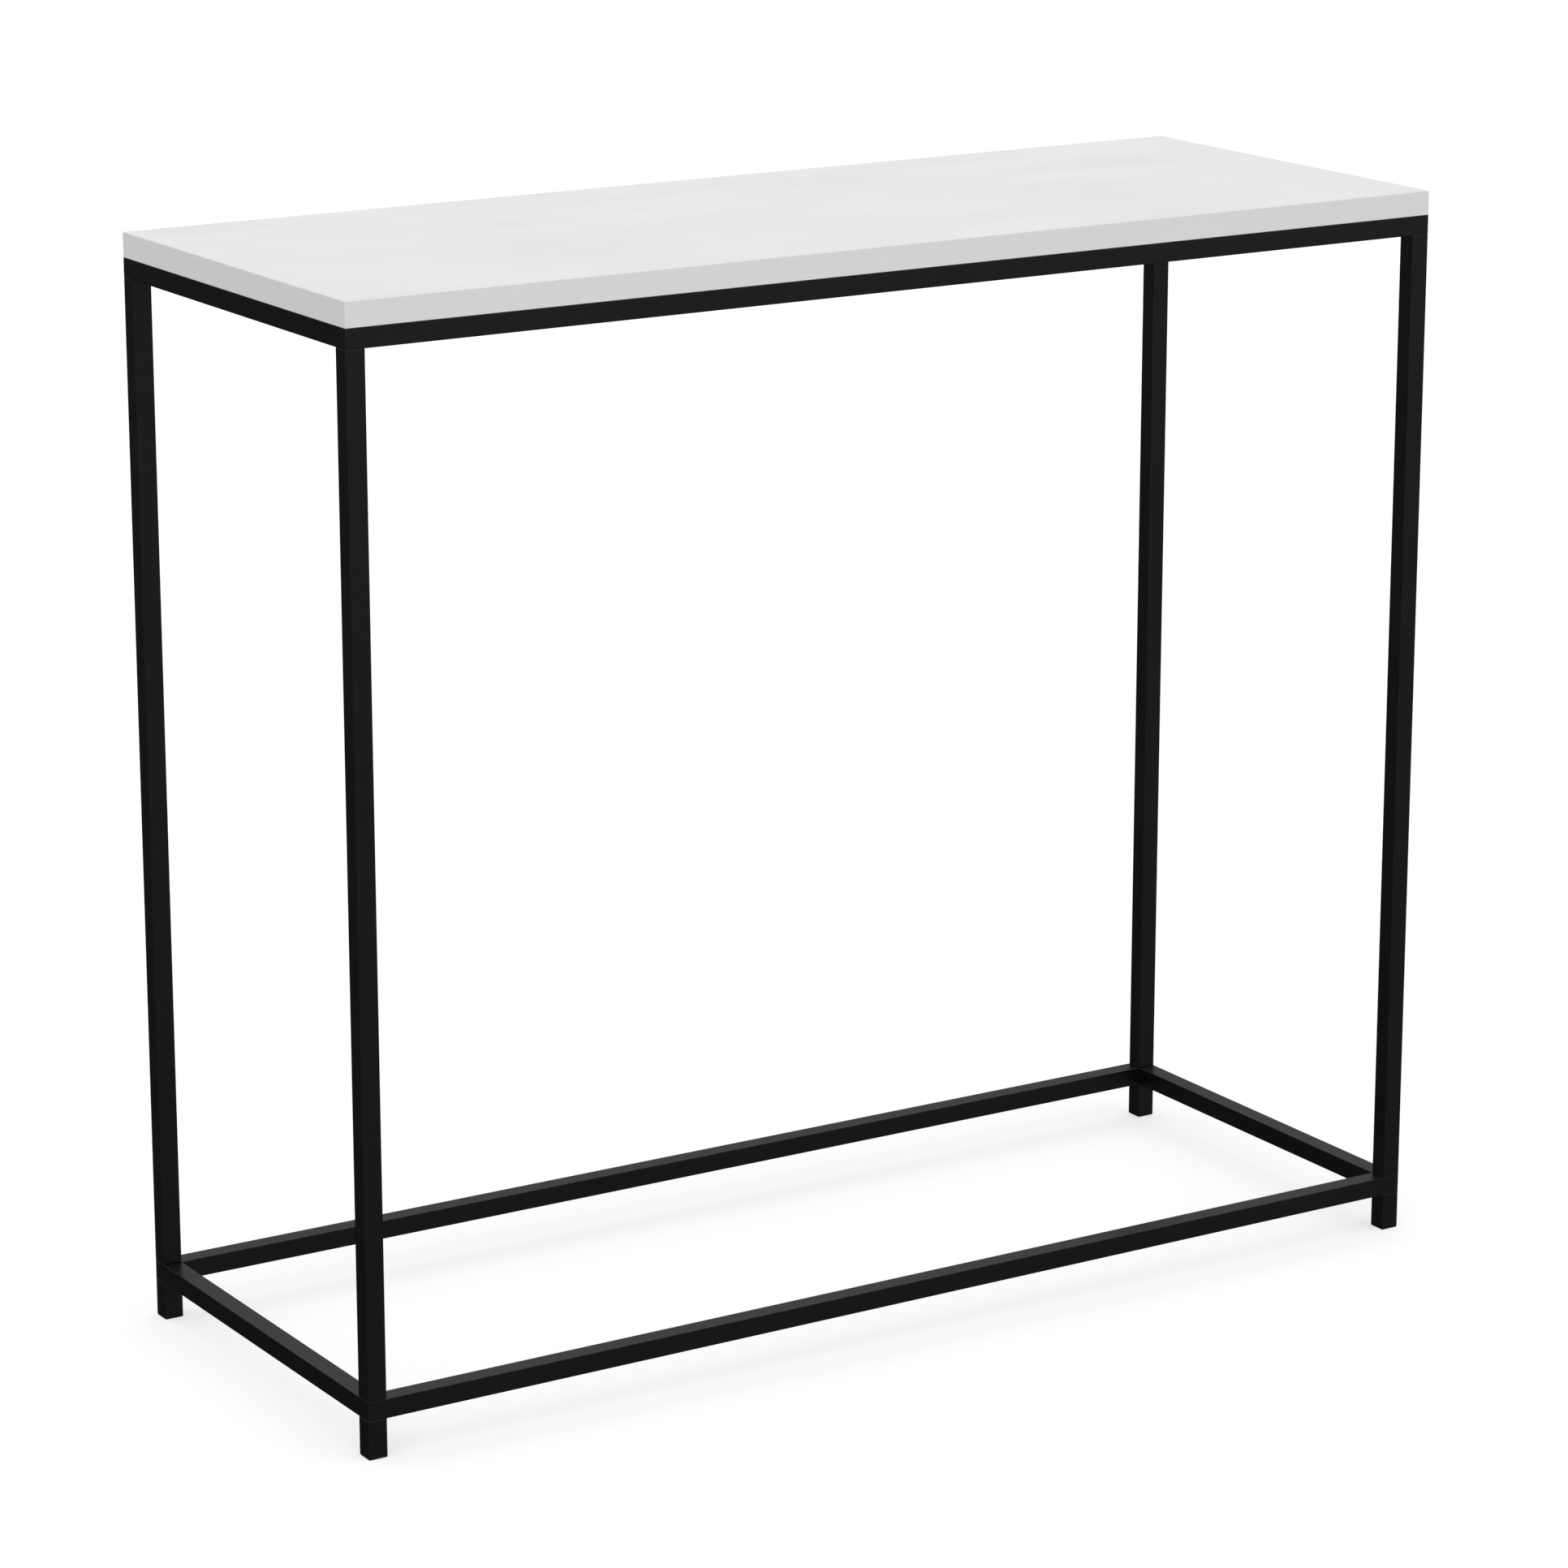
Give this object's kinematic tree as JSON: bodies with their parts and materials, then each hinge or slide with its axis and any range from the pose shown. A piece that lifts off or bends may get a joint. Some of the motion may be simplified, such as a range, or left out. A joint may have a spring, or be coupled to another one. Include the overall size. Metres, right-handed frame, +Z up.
{
  "type": "console table",
  "caption": "Narrow console table: a white laminated board on a black square-tube frame, open under the board, with a bracing ring low on the legs and short feet below it.",
  "frame": {"origin": "on the floor, under the centre of the table's footprint", "axes": "+X to the right along the long side, +Y from the front to the back, +Z up"},
  "size_m": [0.8, 0.3, 0.72],
  "materials": {
    "white_laminate": "matt melamine, very fine pearl texture",
    "white_edge_band": "matt plastic edge band",
    "chipboard": "raw particle board",
    "black_powder_coat": "satin black powder coat, fine orange peel",
    "black_nylon": "moulded nylon, matt",
    "plain_steel": "machined, oiled",
    "zinc_plated_steel": "bright zinc plate"
  },
  "bodies": {
    "root": {"board_core": "chipboard", "top_laminate": "white_laminate", "underside_laminate": "white_laminate", "edge_band_front": "white_edge_band", "edge_band_right": "white_edge_band", "edge_band_back": "white_edge_band", "edge_band_left": "white_edge_band", "upper_rail_front": "black_powder_coat", "upper_rail_right": "black_powder_coat", "upper_rail_back": "black_powder_coat", "upper_rail_left": "black_powder_coat", "lower_rail_front": "black_powder_coat", "lower_rail_right": "black_powder_coat", "lower_rail_back": "black_powder_coat", "lower_rail_left": "black_powder_coat", "leg_front_left": "black_powder_coat", "leg_front_right": "black_powder_coat", "leg_back_left": "black_powder_coat", "leg_back_right": "black_powder_coat", "foot_front_left": "black_powder_coat", "foot_front_right": "black_powder_coat", "foot_back_left": "black_powder_coat", "foot_back_right": "black_powder_coat", "glide_front_left": "black_nylon", "glide_front_right": "black_nylon", "glide_back_left": "black_nylon", "glide_back_right": "black_nylon", "upper_leg_block_front_left": "plain_steel", "upper_leg_block_front_right": "plain_steel", "upper_leg_block_back_left": "plain_steel", "upper_leg_block_back_right": "plain_steel", "lower_leg_block_front_left": "plain_steel", "lower_leg_block_front_right": "plain_steel", "lower_leg_block_back_left": "plain_steel", "lower_leg_block_back_right": "plain_steel", "fixing_tab_front_left": "black_powder_coat", "fixing_tab_front_right": "black_powder_coat", "fixing_tab_right": "black_powder_coat", "fixing_tab_back_right": "black_powder_coat", "fixing_tab_back_left": "black_powder_coat", "fixing_tab_left": "black_powder_coat", "upper_leg_bolts": "zinc_plated_steel", "lower_leg_bolts": "zinc_plated_steel", "upper_lock_washers": "zinc_plated_steel", "lower_lock_washers": "zinc_plated_steel", "top_screws": "zinc_plated_steel"}
  },
  "joints": []
}
